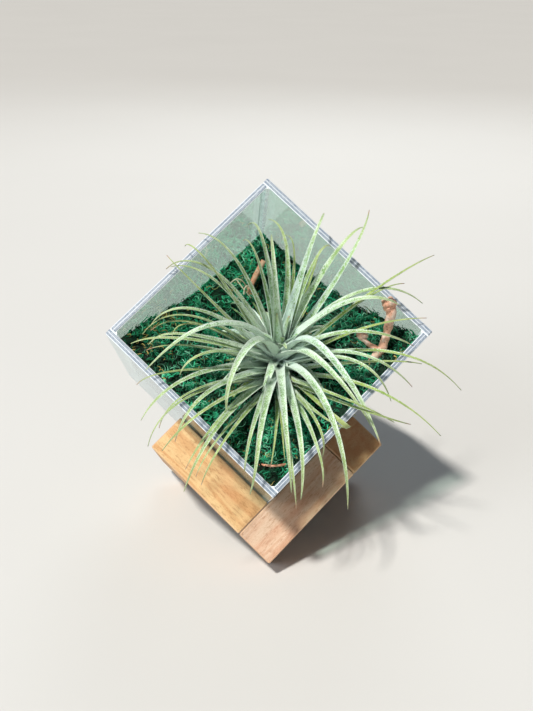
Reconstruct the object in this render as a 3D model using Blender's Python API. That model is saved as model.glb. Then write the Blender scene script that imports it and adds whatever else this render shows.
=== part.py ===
"""Air plant in a clear box that stands on one corner in a ring of wooden bars.

The box's own axes are a (up and to the right), b (up and to the left) and c (out of the
open side, towards the front). They start at the box's lowest corner, and its long diagonal
is upright. Lengths are in millimetres until world_point turns them into metres.
"""
import math
import random

import bmesh
import bpy
from mathutils import Matrix, Vector, noise

MM = 0.001

# Box of five glued sheets, open on its c side
BOX_SIDE = 100.0
SHEET = 3.0
SEAT_GAP = 0.3
SHEET_GAP = 0.3
SHEET_EASE = 0.5

# Ring of six equal square bars under the box
BAR = 19.2
REACH = 57.2
BAR_GAP = 0.3
BAR_EASE = 0.5
FOOT_CUT = 1.1

# Box axes in the world: the diagonal a + b + c points straight up
AXIS_A = Vector((math.sqrt(1 / 2), math.sqrt(1 / 6), math.sqrt(1 / 3)))
AXIS_B = Vector((-math.sqrt(1 / 2), math.sqrt(1 / 6), math.sqrt(1 / 3)))
AXIS_C = Vector((0.0, -math.sqrt(2 / 3), math.sqrt(1 / 3)))
TO_BOX = Matrix((AXIS_A, AXIS_B, AXIS_C))
TO_WORLD = TO_BOX.transposed()
UPRIGHT = Vector((1.0, 1.0, 1.0)).normalized()

# Plant: the heart, the way it faces, and the eye that its leaves are laid out from
HEART = Vector((54.5, 46.5, 68.0))
FACING_RISE = math.radians(50.0)
FACING = TO_BOX @ Vector((0.0, -math.cos(FACING_RISE), math.sin(FACING_RISE)))
FACING_SIDE = FACING.cross(Vector((1, -1, 0))).normalized()
FACING_ACROSS = FACING.cross(FACING_SIDE)
EYE = TO_BOX @ Vector((-20.0, -403.0, 265.0))

# Short stem: how far behind the heart, as a share of its length, and share of its radius
CORE_RADIUS = 5.5
CORE_LENGTH = 17.0
CORE_PROFILE = ((-1.0, 0.8), (-0.6, 1.0), (-0.25, 0.85), (-0.08, 0.4))
CORE_SIDES = 10
HOLE_CLEAR = 0.4
HOLE_SIDES = 14
HOLE_FRONT = 12.0

# Leaves: how a blade is shaped, and how far it may lean forward until it clears the rim
ROOT_INSET = 0.35
RIM_CLEARANCE = 2.2
MOST_FORWARD = 125.0
MIDDLE_STEP = 1.0
TIP_STEP = 0.25
DEPTH_SPREAD = 3.0
LEAF_STEPS = 9
LEAF_THICKNESS = 1.0
TIP_THICKNESS = 0.6
TIP_WIDTH = 0.8
CHANNEL = 0.2
CHANNEL_FORWARD = 0.8
CHANNEL_INWARD = 0.6

# Layers of leaves, from the top one down: width at the root, taper, depth below the heart
# of the root, and c of the middle and of the tip
LAYERS = {
    "top": {"width": 6.0, "taper": 0.65, "root": 4.0, "middle": 109.0, "tip": 106.0},
    "mid": {"width": 5.0, "taper": 0.9, "root": 8.0, "middle": 102.0, "tip": 102.0},
    "low": {"width": 4.2, "taper": 1.1, "root": 12.0, "middle": 94.0, "tip": 99.0},
}

# Each leaf's middle and tip, right of and up the slope from the middle of the opening, in
# the plane of the opening, where the line from the eye to that point of the leaf meets it
LEAF_MARKS = {
    "top": (
        ((-2, 38), (-9, 49)), ((2, 26), (1, 44)), ((18, 37), (26, 55)), ((27, 32), (42, 48)),
        ((33, 13), (57, 12)), ((27, -16), (46, -49)), ((25, -19), (42, -41)),
        ((24, -36), (31, -75)), ((11, -40), (12, -70)), ((5, -35), (8, -67)),
        ((-4, -37), (-8, -70)), ((-14, -15), (-19, -36)), ((-25, 2), (-51, -15)),
    ),
    "mid": (
        ((-13, 30), (-31, 45)), ((-22, 26), (-47, 29)), ((-21, 21), (-43, 30)),
        ((-4, 29), (-12, 43)), ((8, 35), (-1, 51)), ((18, 28), (27, 39)), ((32, 28), (45, 56)),
        ((37, 17), (67, 13)), ((32, 0), (62, -6)), ((35, -9), (60, -24)), ((34, -12), (51, -30)),
        ((16, -41), (22, -66)), ((6, -42), (10, -74)), ((-7, -37), (-12, -61)),
        ((-21, -38), (-37, -67)), ((-19, -34), (-37, -58)), ((-26, -25), (-40, -46)),
        ((-32, -18), (-55, -37)), ((-24, -8), (-40, -19)), ((-32, -3), (-60, -3)),
        ((-32, -1), (-52, -3)), ((-30, 10), (-52, 3)),
    ),
    "low": (
        ((-24, 28), (-37, 39)), ((-28, 17), (-45, 35)), ((11, 31), (6, 44)), ((19, 27), (22, 37)),
        ((42, 16), (73, 35)), ((37, 12), (59, 22)), ((38, 1), (68, 6)), ((45, -8), (82, -24)),
        ((41, -13), (65, -14)), ((39, -23), (72, -45)), ((31, -31), (59, -40)),
        ((29, -28), (52, -39)), ((18, -37), (21, -53)), ((21, -36), (33, -41)),
        ((4, -38), (5, -55)), ((2, -38), (-1, -58)), ((-17, -42), (-30, -64)),
        ((-20, -42), (-32, -61)), ((-25, -31), (-46, -50)), ((-34, -27), (-52, -48)),
        ((-31, -24), (-47, -40)), ((-37, -16), (-57, -22)), ((-30, -6), (-53, -7)),
        ((-31, 7), (-55, 0)), ((-30, 4), (-51, 1)), ((-28, 3), (-43, -1)),
    ),
}

# Young leaves in the heart, set by the golden angle: the root's place behind the heart and
# out from its axis, then the middle's and the tip's, as shares of the leaf's length
YOUNG_LEAVES = 9
YOUNG_LENGTH = (12.0, 24.0)
YOUNG_VARY = 0.1
YOUNG_WIDTH = 4.6
YOUNG_TAPER = 0.6
YOUNG_ROOT = (-3.0, 1.0)
YOUNG_MIDDLE = (0.55, 0.22)
YOUNG_TIP = (0.85, 0.6)
GOLDEN_ANGLE = math.radians(137.5)
LEAF_SEED = 11

# Moss bed: its height in c, deepest at the back and banked up against the two low walls
MOSS_CELLS = 26
MOSS_CLEAR = 0.4
MOSS_BACK = 38.0
MOSS_BANK = 52.0
MOSS_BANK_REACH = 38.0
MOSS_BANK_CURVE = 1.6
MOSS_CORNER = 6.0
MOSS_LUMP = 2.6
MOSS_LUMP_SIZE = 9.0
MOSS_FINE_LUMP = 1.56
MOSS_FINE_SIZE = 3.9
MOSS_UNDER_LEAF = 2.4
MOSS_BESIDE_LEAF = 2.5

# Twigs: points in box axes with the radius there
UPRIGHT_TWIG = (
    (84.0, 84.0, 51.0, 1.2), (76.6, 82.1, 48.0, 1.25), (69.3, 79.0, 45.0, 1.3),
    (68.5, 73.7, 39.0, 1.3), (68.4, 68.5, 31.0, 1.2),
)
UPRIGHT_SPRIGS = (
    ((73.5, 80.5, 46.5, 0.5), (75.5, 85.5, 49.0, 0.45), (81.5, 90.0, 52.0, 0.4)),
    ((69.0, 76.5, 42.5, 0.5), (65.5, 83.0, 47.0, 0.45), (62.5, 88.5, 49.0, 0.4)),
)
ROOT_TWIG = (
    (95.0, 22.5, 104.5, 2.6), (93.2, 18.6, 100.0, 2.0), (88.0, 14.6, 93.5, 2.1),
    (82.0, 11.2, 87.5, 2.3), (76.5, 11.6, 81.0, 2.0), (72.0, 13.0, 73.0, 1.7),
)
ROOT_BRANCH = ((81.0, 11.8, 87.0, 1.7), (79.5, 17.5, 88.0, 1.6), (79.5, 21.5, 89.5, 1.9))
ROOT_KNOBS = (
    (92.6, 25.2, 105.0, 2.1), (96.2, 20.4, 106.0, 1.9), (91.0, 22.0, 102.4, 1.8),
    (79.8, 22.6, 90.4, 2.2),
)
CURVED_STEM = (
    (6.4, 16.4, 79.0, 0.45), (8.0, 13.6, 88.5, 0.5), (11.0, 9.6, 91.0, 0.5),
    (15.2, 6.6, 88.5, 0.5), (18.0, 5.6, 79.0, 0.45),
)
TWIG_SIDES = 7
SHARP_ANGLE = math.radians(40.0)

COLOURS = {
    "beech": ((0.62, 0.36, 0.17), 0.55),
    "clear_sheet": ((0.80, 0.88, 0.90), 0.05),
    "moss": ((0.02, 0.20, 0.09), 0.95),
    "leaf": ((0.42, 0.55, 0.36), 0.60),
    "twig": ((0.30, 0.13, 0.07), 0.80),
    "root": ((0.42, 0.24, 0.15), 0.80),
}


def remove_everything():
    for item in list(bpy.data.objects):
        bpy.data.objects.remove(item, do_unlink=True)


def material(name):
    """Return the named Principled material, made on first use."""
    if name in bpy.data.materials:
        return bpy.data.materials[name]
    colour, roughness = COLOURS[name]
    made = bpy.data.materials.new(name)
    made.use_nodes = True
    shader = made.node_tree.nodes["Principled BSDF"]
    shader.inputs["Base Color"].default_value = (*colour, 1.0)
    shader.inputs["Roughness"].default_value = roughness
    shader.inputs["Metallic"].default_value = 0.0
    if name == "clear_sheet":
        shader.inputs["Alpha"].default_value = 0.3
    return made


def floor_height():
    """Height of the standing surface above the start of the box axes, in millimetres."""
    lowest_corner = (REACH - 3 * BAR) / math.sqrt(3)
    return lowest_corner + FOOT_CUT


def world_point(point):
    """Turn a point in box axes and millimetres into metres in the world."""
    place = TO_WORLD @ Vector(point[:3])
    return (place - Vector((0, 0, floor_height()))) * MM


def new_object(name, bm, material_name):
    """Make an object from a bmesh in box axes, with its faces pointing out."""
    for vertex in bm.verts:
        vertex.co = world_point(vertex.co)
    bmesh.ops.recalc_face_normals(bm, faces=bm.faces)
    mesh = bpy.data.meshes.new(name)
    bm.to_mesh(mesh)
    bm.free()
    made = bpy.data.objects.new(name, mesh)
    made.data.materials.append(material(material_name))
    bpy.context.scene.collection.objects.link(made)
    return made


def shade_round(target):
    """Shade an object smooth, apart from its sharp edges."""
    target.data.shade_smooth()
    target.data.set_sharp_from_angle(angle=SHARP_ANGLE)


def eased_block(low, high, ease):
    """Return a bmesh block between two corners with its edges eased."""
    bm = bmesh.new()
    bmesh.ops.create_cube(bm, size=1.0)
    size = Vector(high) - Vector(low)
    middle = (Vector(high) + Vector(low)) / 2
    for vertex in bm.verts:
        vertex.co = Vector(vertex.co[i] * size[i] + middle[i] for i in range(3))
    bmesh.ops.bevel(bm, geom=bm.edges[:], offset=ease, segments=1, affect="EDGES", clamp_overlap=True)
    return bm


def cut_foot(bm):
    """Cut the block flat at the level of the surface that it stands on."""
    geometry = bm.verts[:] + bm.edges[:] + bm.faces[:]
    level = UPRIGHT * floor_height()
    bmesh.ops.bisect_plane(bm, geom=geometry, dist=0.0001, plane_co=level, plane_no=UPRIGHT,
                           clear_inner=True)
    rim = [edge for edge in bm.edges if edge.is_boundary]
    if rim:
        bmesh.ops.contextual_create(bm, geom=rim)


def turned(point, times):
    """Turn a point about the upright diagonal: a goes to b, b to c and c to a."""
    for _ in range(times):
        point = (point[2], point[0], point[1])
    return point


def build_ring():
    """Six equal bars, each butted on the side of the next, in three turned pairs."""
    inner = REACH - BAR
    high_bar = ((-BAR, BAR_GAP, inner), (0.0, REACH, REACH))
    low_bar = ((-BAR, -BAR, inner), (inner - BAR_GAP, 0.0, REACH))
    names = (("bar_front_left", "bar_front_right"), ("bar_right", "bar_back_right"),
             ("bar_back_left", "bar_left"))
    for times, (high_name, low_name) in enumerate(names):
        for name, (low, high) in ((high_name, high_bar), (low_name, low_bar)):
            bm = eased_block(turned(low, times), turned(high, times), BAR_EASE)
            cut_foot(bm)
            new_object(name, bm, "beech")


def build_box():
    """Five clear sheets: the back, two long side sheets and two short ones between them."""
    near = SEAT_GAP
    far = SEAT_GAP + BOX_SIDE
    inner_near = near + SHEET
    inner_far = far - SHEET
    front_start = inner_near + SHEET_GAP
    short_start = inner_near + SHEET_GAP
    short_end = inner_far - SHEET_GAP
    sheets = {
        "sheet_back": ((near, near, near), (far, far, inner_near)),
        "sheet_lower_left": ((near, near, front_start), (inner_near, far, far)),
        "sheet_upper_right": ((inner_far, near, front_start), (far, far, far)),
        "sheet_lower_right": ((short_start, near, front_start), (short_end, inner_near, far)),
        "sheet_upper_left": ((short_start, inner_far, front_start), (short_end, far, far)),
    }
    for name, (low, high) in sheets.items():
        new_object(name, eased_block(low, high, SHEET_EASE), "clear_sheet")


def swept_rings(bm, rings):
    """Skin a list of rings of points into one closed tube with flat ends."""
    loops = [[bm.verts.new(point) for point in ring] for ring in rings]
    sides = len(rings[0])
    for first, second in zip(loops, loops[1:]):
        for i in range(sides):
            j = (i + 1) % sides
            bm.faces.new((first[i], first[j], second[j], second[i]))
    bm.faces.new(loops[0][::-1])
    bm.faces.new(loops[-1])


def round_ring(middle, side, across, radius, sides):
    """Points round a circle that is spanned by two unit vectors."""
    turns = [math.tau * i / sides for i in range(sides)]
    return [middle + side * radius * math.cos(turn) + across * radius * math.sin(turn)
            for turn in turns]


def opening_point(mark):
    """Point of the opening's plane at a mark, right of and up the slope from its middle."""
    middle = Vector((BOX_SIDE / 2, BOX_SIDE / 2, BOX_SIDE))
    right = Vector((1, -1, 0)) / math.sqrt(2)
    up_slope = Vector((1, 1, 0)) / math.sqrt(2)
    return middle + right * mark[0] + up_slope * mark[1]


def on_sight_line(mark, depth):
    """Point at c = depth on the line from the eye through a mark in the opening's plane."""
    target = opening_point(mark)
    share = (EYE.z - depth) / (EYE.z - target.z)
    return EYE + (target - EYE) * share


def arc_points(root, middle, tip):
    """Points of the parabola from root to tip that passes middle half way."""
    control = middle * 2 - (root + tip) / 2
    points = []
    for i in range(LEAF_STEPS + 1):
        t = i / LEAF_STEPS
        points.append(root * (1 - t) ** 2 + control * (2 * t * (1 - t)) + tip * t ** 2)
    return points


def clears_rim(points):
    """True if no point lies in the walls of the box or too close over its rim."""
    margin = SHEET + RIM_CLEARANCE
    far = BOX_SIDE + SEAT_GAP
    for point in points:
        beside = min(point.x, point.y) < margin or max(point.x, point.y) > far - margin
        if beside and point.z < far + RIM_CLEARANCE:
            return False
    return True


def leaf_arc(middle_mark, tip_mark, layer, draw):
    """Centre line of one leaf, bent towards the front until it clears the rim."""
    middle_depth = layer["middle"] + draw.uniform(-DEPTH_SPREAD, DEPTH_SPREAD)
    tip_depth = layer["tip"] + draw.uniform(-DEPTH_SPREAD, DEPTH_SPREAD)
    tip = on_sight_line(tip_mark, tip_depth)
    outward = tip - HEART
    outward -= FACING * outward.dot(FACING)
    root = HEART - FACING * layer["root"] + outward.normalized() * CORE_RADIUS * ROOT_INSET
    while True:
        middle = on_sight_line(middle_mark, middle_depth)
        points = arc_points(root, middle, tip)
        if clears_rim(points) or middle_depth > MOST_FORWARD:
            return points
        middle_depth += MIDDLE_STEP
        tip_depth += TIP_STEP
        tip = on_sight_line(tip_mark, tip_depth)


def young_arc(index, draw):
    """Centre line of one young leaf of the heart, standing out along the way it faces."""
    turn = index * GOLDEN_ANGLE
    outward = FACING_SIDE * math.cos(turn) + FACING_ACROSS * math.sin(turn)
    share = (index + 1) / YOUNG_LEAVES
    length = YOUNG_LENGTH[0] + (YOUNG_LENGTH[1] - YOUNG_LENGTH[0]) * share
    length *= draw.uniform(1 - YOUNG_VARY, 1 + YOUNG_VARY)
    root = HEART + FACING * YOUNG_ROOT[0] + outward * YOUNG_ROOT[1]
    middle = root + (FACING * YOUNG_MIDDLE[0] + outward * YOUNG_MIDDLE[1]) * length
    tip = root + (FACING * YOUNG_TIP[0] + outward * YOUNG_TIP[1]) * length
    return arc_points(root, middle, tip)


def blade_rings(points, width, taper):
    """Chevron sections along a centre line, with the channel facing the plant's axis."""
    rings = []
    last = len(points) - 1
    outward = points[-1] - HEART
    outward = (outward - FACING * outward.dot(FACING)).normalized()
    for i, point in enumerate(points):
        t = i / last
        tangent = (points[min(i + 1, last)] - points[max(i - 1, 0)]).normalized()
        face = FACING * CHANNEL_FORWARD - outward * CHANNEL_INWARD
        face = (face - tangent * face.dot(tangent)).normalized()
        side = tangent.cross(face)
        half = ((width - TIP_WIDTH) * (1 - t) ** taper + TIP_WIDTH) / 2
        thickness = LEAF_THICKNESS + (TIP_THICKNESS - LEAF_THICKNESS) * t
        lift = half * 2 * CHANNEL
        rings.append((point - side * half + face * lift, point + face * thickness / 2,
                      point + side * half + face * lift, point - face * thickness / 2))
    return rings


def all_leaves():
    """Centre line, width at the root and taper of every leaf."""
    leaves = []
    draw = random.Random(LEAF_SEED)
    for layer_name, marks in LEAF_MARKS.items():
        layer = LAYERS[layer_name]
        for middle_mark, tip_mark in marks:
            points = leaf_arc(middle_mark, tip_mark, layer, draw)
            leaves.append((points, layer["width"], layer["taper"]))
    for index in range(YOUNG_LEAVES):
        leaves.append((young_arc(index, draw), YOUNG_WIDTH, YOUNG_TAPER))
    return leaves


def core_rings():
    """Rings of the short stem that the leaves grow from, root end first."""
    return [round_ring(HEART + FACING * CORE_LENGTH * along, FACING_SIDE, FACING_ACROSS,
                       CORE_RADIUS * share, CORE_SIDES)
            for along, share in CORE_PROFILE]


def union_of(name, base, pieces, material_name):
    """Join a base object and many loose pieces into one solid."""
    group = bpy.data.collections.new(name + "_pieces")
    bpy.context.scene.collection.children.link(group)
    for piece in pieces:
        bpy.context.scene.collection.objects.unlink(piece)
        group.objects.link(piece)
    join = base.modifiers.new("join", "BOOLEAN")
    join.operation = "UNION"
    join.operand_type = "COLLECTION"
    join.collection = group
    join.solver = "MANIFOLD"
    apply_modifiers(base)
    for piece in pieces:
        bpy.data.objects.remove(piece, do_unlink=True)
    bpy.data.collections.remove(group)
    base.data.materials.clear()
    base.data.materials.append(material(material_name))
    drop_scraps(base)


def drop_scraps(target):
    """Keep only the largest connected piece of an object's mesh."""
    bm = bmesh.new()
    bm.from_mesh(target.data)
    waiting = set(bm.verts)
    pieces = []
    while waiting:
        piece = set()
        front = [waiting.pop()]
        while front:
            vertex = front.pop()
            piece.add(vertex)
            for edge in vertex.link_edges:
                other = edge.other_vert(vertex)
                if other in waiting:
                    waiting.remove(other)
                    front.append(other)
        pieces.append(piece)
    pieces.sort(key=len)
    for piece in pieces[:-1]:
        bmesh.ops.delete(bm, geom=list(piece), context="VERTS")
    bm.to_mesh(target.data)
    bm.free()


def apply_modifiers(target):
    """Swap an object's mesh for the one its modifiers make."""
    graph = bpy.context.evaluated_depsgraph_get()
    mesh = bpy.data.meshes.new_from_object(target.evaluated_get(graph))
    target.modifiers.clear()
    target.data = mesh


def build_plant(leaves):
    """The rosette: every leaf fused to the short stem."""
    bm = bmesh.new()
    swept_rings(bm, core_rings())
    plant = new_object("air_plant", bm, "leaf")
    blades = []
    for number, (points, width, taper) in enumerate(leaves):
        bm = bmesh.new()
        swept_rings(bm, blade_rings(points, width, taper))
        blades.append(new_object("blade_%02d" % number, bm, "leaf"))
    union_of("air_plant", plant, blades, "leaf")
    shade_round(plant)


def tube_rings(points, extra=0.0):
    """Round rings along a list of (a, b, c, radius) points."""
    places = [Vector(point[:3]) for point in points]
    last = len(places) - 1
    rings = []
    side = Vector((1, -1, 0)).normalized()
    for i, place in enumerate(places):
        tangent = (places[min(i + 1, last)] - places[max(i - 1, 0)]).normalized()
        side = (side - tangent * side.dot(tangent)).normalized()
        across = tangent.cross(side)
        rings.append(round_ring(place, side, across, points[i][3] + extra, TWIG_SIDES))
    return rings


def tube_object(name, points, material_name, extra=0.0):
    """A closed tube along (a, b, c, radius) points."""
    bm = bmesh.new()
    swept_rings(bm, tube_rings(points, extra))
    return new_object(name, bm, material_name)


def knob_object(name, knob, material_name, extra=0.0):
    """A small faceted knob at (a, b, c) with a radius."""
    bm = bmesh.new()
    bmesh.ops.create_icosphere(bm, subdivisions=1, radius=knob[3] + extra)
    for vertex in bm.verts:
        vertex.co += Vector(knob[:3])
    return new_object(name, bm, material_name)


def twig_solids(extra=0.0, suffix=""):
    """The three twigs, grown by extra where they are used as cutters."""
    upright = tube_object("twig_upright" + suffix, UPRIGHT_TWIG, "twig", extra)
    sprigs = [tube_object("sprig%d%s" % (i, suffix), points, "twig", extra)
              for i, points in enumerate(UPRIGHT_SPRIGS)]
    union_of("twig_upright", upright, sprigs, "twig")
    root = tube_object("twig_root" + suffix, ROOT_TWIG, "root", extra)
    parts = [tube_object("branch" + suffix, ROOT_BRANCH, "root", extra)]
    parts += [knob_object("knob%d%s" % (i, suffix), knob, "root", extra)
              for i, knob in enumerate(ROOT_KNOBS)]
    union_of("twig_root", root, parts, "root")
    stem = tube_object("twig_curved" + suffix, CURVED_STEM, "twig", extra)
    for twig in (upright, root, stem):
        shade_round(twig)
    return [upright, root, stem]


def moss_height(a, b, leaves):
    """Height of the moss in c, banked up at the low walls and pressed down under leaves."""
    nearness = math.exp(-a / MOSS_CORNER) + math.exp(-b / MOSS_CORNER)
    from_wall = max(-MOSS_CORNER * math.log(nearness), 0.0)
    bank = math.exp(-(from_wall / MOSS_BANK_REACH) ** MOSS_BANK_CURVE)
    height = MOSS_BACK + MOSS_BANK * bank
    place = Vector((a, b, 0.0))
    height += MOSS_LUMP * noise.noise(place / MOSS_LUMP_SIZE)
    height += MOSS_FINE_LUMP * noise.noise(place / MOSS_FINE_SIZE)
    for points, width, _ in leaves:
        for point in points:
            if math.hypot(point.x - a, point.y - b) < width / 2 + MOSS_BESIDE_LEAF:
                height = min(height, point.z - MOSS_UNDER_LEAF)
    return height


def moss_block(leaves):
    """Closed block of moss between the sheets with a lumpy top."""
    low = SEAT_GAP + SHEET + MOSS_CLEAR
    high = SEAT_GAP + BOX_SIDE - SHEET - MOSS_CLEAR
    step = (high - low) / MOSS_CELLS
    count = MOSS_CELLS + 1
    bm = bmesh.new()
    top = []
    for i in range(count):
        row = []
        for j in range(count):
            a = low + i * step
            b = low + j * step
            row.append(bm.verts.new((a, b, moss_height(a, b, leaves))))
        top.append(row)
    base = ((low, low), (high, low), (high, high), (low, high))
    corners = [bm.verts.new((a, b, low)) for a, b in base]
    for i in range(MOSS_CELLS):
        for j in range(MOSS_CELLS):
            bm.faces.new((top[i][j], top[i + 1][j], top[i + 1][j + 1], top[i][j + 1]))
    sides = (
        [top[i][0] for i in range(count)],
        [top[-1][j] for j in range(count)],
        [top[i][-1] for i in reversed(range(count))],
        [top[0][j] for j in reversed(range(count))],
    )
    for number, edge in enumerate(sides):
        bm.faces.new([corners[number], *edge, corners[(number + 1) % 4]][::-1])
    bm.faces.new(corners[::-1])
    bmesh.ops.triangulate(bm, faces=bm.faces[:])
    return new_object("moss_bed", bm, "moss")


def stem_cutter():
    """A round cutter a little wider than the plant's stem, for its hole in the moss."""
    bm = bmesh.new()
    rings = [round_ring(HEART + FACING * along, FACING_SIDE, FACING_ACROSS,
                        CORE_RADIUS + HOLE_CLEAR, HOLE_SIDES)
             for along in (-CORE_LENGTH - HOLE_CLEAR, HOLE_FRONT)]
    swept_rings(bm, rings)
    return new_object("stem_cutter", bm, "moss")


def build_moss(leaves):
    """The moss bed with a hole for the stem and grooves for the twigs."""
    moss = moss_block(leaves)
    cutters = [stem_cutter()] + twig_solids(HOLE_CLEAR, "_cutter")
    for cutter in cutters:
        cutter.hide_render = True
        cutter.display_type = "WIRE"
        cut = moss.modifiers.new("cut", "BOOLEAN")
        cut.operation = "DIFFERENCE"
        cut.object = cutter
        cut.solver = "EXACT"
    apply_modifiers(moss)
    for cutter in cutters:
        bpy.data.objects.remove(cutter, do_unlink=True)
    moss.data.materials.clear()
    moss.data.materials.append(material("moss"))
    shade_round(moss)


def centre_over_origin():
    """Slide everything so that the origin is under the middle of the whole part."""
    corners = [vertex.co for item in bpy.data.objects for vertex in item.data.vertices]
    middle = [(min(c[i] for c in corners) + max(c[i] for c in corners)) / 2 for i in range(2)]
    for item in bpy.data.objects:
        item.data.transform(Matrix.Translation((-middle[0], -middle[1], 0.0)))


def main():
    remove_everything()
    build_ring()
    build_box()
    leaves = all_leaves()
    build_plant(leaves)
    build_moss(leaves)
    twig_solids()
    centre_over_origin()


main()
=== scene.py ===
"""Looks of an air plant in a clear box that rests on a ring of wooden bars.

Lengths are in millimetres in the box's own axes until place() turns them into metres in the
model's frame: a and b rise along the two low walls, and c leaves the box by its open side.
"""
import math
import random

import bmesh
import bpy
from mathutils import Matrix, Vector


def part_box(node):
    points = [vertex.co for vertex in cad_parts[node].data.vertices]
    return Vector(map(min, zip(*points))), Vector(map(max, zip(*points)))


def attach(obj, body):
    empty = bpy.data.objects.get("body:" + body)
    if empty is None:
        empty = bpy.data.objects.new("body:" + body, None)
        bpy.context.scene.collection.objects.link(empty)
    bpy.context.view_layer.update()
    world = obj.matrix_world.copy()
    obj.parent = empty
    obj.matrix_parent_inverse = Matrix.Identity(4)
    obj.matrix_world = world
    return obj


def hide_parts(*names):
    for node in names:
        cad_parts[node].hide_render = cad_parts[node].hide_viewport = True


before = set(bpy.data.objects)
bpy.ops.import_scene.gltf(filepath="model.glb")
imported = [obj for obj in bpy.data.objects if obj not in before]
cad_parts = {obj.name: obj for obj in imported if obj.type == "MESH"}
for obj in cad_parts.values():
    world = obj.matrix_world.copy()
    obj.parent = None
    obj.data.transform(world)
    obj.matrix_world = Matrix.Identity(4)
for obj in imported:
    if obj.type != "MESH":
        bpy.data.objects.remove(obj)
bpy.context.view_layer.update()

MM = 0.001

# Box axes in the model's frame
AXIS_A = Vector((math.sqrt(1 / 2), math.sqrt(1 / 6), math.sqrt(1 / 3)))
AXIS_B = Vector((-math.sqrt(1 / 2), math.sqrt(1 / 6), math.sqrt(1 / 3)))
AXIS_C = Vector((0.0, -math.sqrt(2 / 3), math.sqrt(1 / 3)))
TO_BOX = Matrix((AXIS_A, AXIS_B, AXIS_C))
TO_MODEL = TO_BOX.transposed()

# Box of five sheets
BOX_SIDE = 100.0
SHEET = 3.0
SEAT_GAP = 0.3
SHEET_GAP = 0.3
GLUE_FILLET = 1.1
GLUE_INSET = 0.15
# Painted glow of the glue, which is no lamp
GLUE_GLOW = 0.22
# Painted glow of the sawn sheet edges, which are no lamp
EDGE_GLOW = 0.1
SHEETS = ("sheet_back", "sheet_lower_left", "sheet_lower_right", "sheet_upper_left",
          "sheet_upper_right")

# Bars, each with how warm and how light its wood is
BARS = {
    "bar_front_left": (1.05, 0.86), "bar_front_right": (0.25, 0.82), "bar_right": (0.8, 0.7),
    "bar_back_right": (0.5, 0.85), "bar_back_left": (0.7, 0.9), "bar_left": (0.9, 0.8),
}

# Camera, from the start of the box axes, in millimetres of the model's frame
EYE_PLACE = Vector((-20.281, -403.197, 264.733))
EYE_FORWARD = Vector((0.04727, 0.91408, -0.40277))
EYE_UP = Vector((0.00674, 0.40292, 0.91521))
LENS = 46.14

# Plant: its heart, the way it faces, and the eye that its leaves were laid out from
HEART = Vector((54.5, 46.5, 68.0))
FACING_RISE = math.radians(64.0)
FACING = TO_BOX @ Vector((0.0, -math.cos(FACING_RISE), math.sin(FACING_RISE)))
FACING_SIDE = FACING.cross(Vector((1, -1, 0))).normalized()
FACING_ACROSS = FACING.cross(FACING_SIDE)
LAYOUT_EYE = TO_BOX @ Vector((-20.0, -403.0, 265.0))
CORE_RADIUS = 5.5
ROOT_INSET = 0.35
RIM_CLEARANCE = 2.2
MOST_FORWARD = 125.0
MIDDLE_STEP = 1.0
TIP_STEP = 0.25
DEPTH_SPREAD = 3.0
FRONT_DROP = 12.0
FRONT_REACH = 75.0
LEAF_SEED = 11
GUIDE_STEPS = 16

# Layers of leaves, from the top one down: width at the root, taper, depth below the heart
# of the root, c of the middle and of the tip, and age from fresh to old
LAYERS = {
    "top": {"width": 6.2, "taper": 0.85, "root": 3.0, "middle": 109.0, "tip": 106.0, "age": 0.1},
    "mid": {"width": 5.1, "taper": 0.95, "root": 9.0, "middle": 102.0, "tip": 102.0, "age": 0.4},
    "low": {"width": 4.2, "taper": 1.1, "root": 15.0, "middle": 94.0, "tip": 99.0, "age": 0.8},
}

# Each leaf's middle and tip, right of and up the slope from the middle of the opening
LEAF_MARKS = {
    "top": (
        ((-2, 38), (-9, 49)), ((2, 26), (1, 44)), ((18, 37), (26, 55)), ((27, 32), (42, 48)),
        ((33, 13), (57, 12)), ((27, -16), (46, -49)), ((25, -19), (42, -41)),
        ((24, -36), (31, -75)), ((11, -40), (12, -70)), ((5, -35), (8, -67)),
        ((-4, -37), (-8, -70)), ((-14, -15), (-19, -36)), ((-25, 2), (-51, -15)),
    ),
    "mid": (
        ((-13, 30), (-31, 45)), ((-22, 26), (-47, 29)), ((-21, 21), (-43, 30)),
        ((-4, 29), (-12, 43)), ((8, 35), (-1, 51)), ((18, 28), (27, 39)), ((32, 28), (45, 56)),
        ((37, 17), (67, 13)), ((32, 0), (62, -6)), ((35, -9), (60, -24)), ((34, -12), (51, -30)),
        ((16, -41), (22, -66)), ((6, -42), (10, -74)), ((-7, -37), (-12, -61)),
        ((-21, -38), (-37, -67)), ((-19, -34), (-37, -58)), ((-26, -25), (-40, -46)),
        ((-32, -18), (-55, -37)), ((-24, -8), (-40, -19)), ((-32, -3), (-60, -3)),
        ((-32, -1), (-52, -3)), ((-30, 10), (-52, 3)),
    ),
    "low": (
        ((-24, 28), (-37, 39)), ((-28, 17), (-45, 35)), ((11, 31), (6, 44)), ((19, 27), (22, 37)),
        ((42, 16), (73, 35)), ((37, 12), (59, 22)), ((38, 1), (68, 6)), ((45, -8), (82, -24)),
        ((41, -13), (65, -14)), ((39, -23), (72, -45)), ((31, -31), (59, -40)),
        ((29, -28), (52, -39)), ((18, -37), (21, -53)), ((21, -36), (33, -41)),
        ((4, -38), (5, -55)), ((2, -38), (-1, -58)), ((-17, -42), (-30, -64)),
        ((-20, -42), (-32, -61)), ((-25, -31), (-46, -50)), ((-34, -27), (-52, -48)),
        ((-31, -24), (-47, -40)), ((-37, -16), (-57, -22)), ((-30, -6), (-53, -7)),
        ((-31, 7), (-55, 0)), ((-30, 4), (-51, 1)), ((-28, 3), (-43, -1)),
    ),
}

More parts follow.
